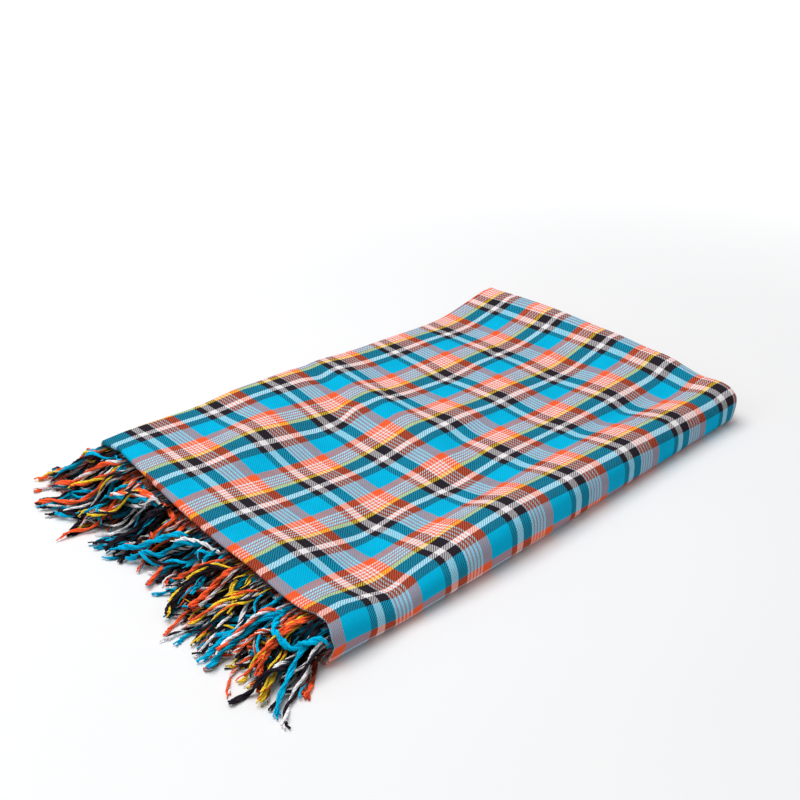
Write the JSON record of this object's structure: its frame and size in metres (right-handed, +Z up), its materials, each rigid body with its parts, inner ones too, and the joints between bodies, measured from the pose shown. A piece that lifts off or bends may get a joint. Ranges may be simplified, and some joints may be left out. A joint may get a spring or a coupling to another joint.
{
  "type": "folded checked cotton cloth",
  "caption": "Cotton cloth in a blue, orange, black and white check, folded flat into a low stack, with twisted fringe out of one short end.",
  "frame": {"origin": "on the surface it lies on, under the middle of the folded cloth without its fringe", "axes": "+X along the folded length, away from the fringe; +Y towards the side with the raw sides; +Z up"},
  "size_m": [0.5756, 0.348, 0.0379],
  "materials": {
    "cloth": "matte cotton twill, woven check",
    "fringe": "matte twisted cotton yarn"
  },
  "bodies": {
    "root": {"cloth": "cloth", "fringe_first_end": "fringe", "fringe_second_end": "fringe"}
  },
  "joints": []
}
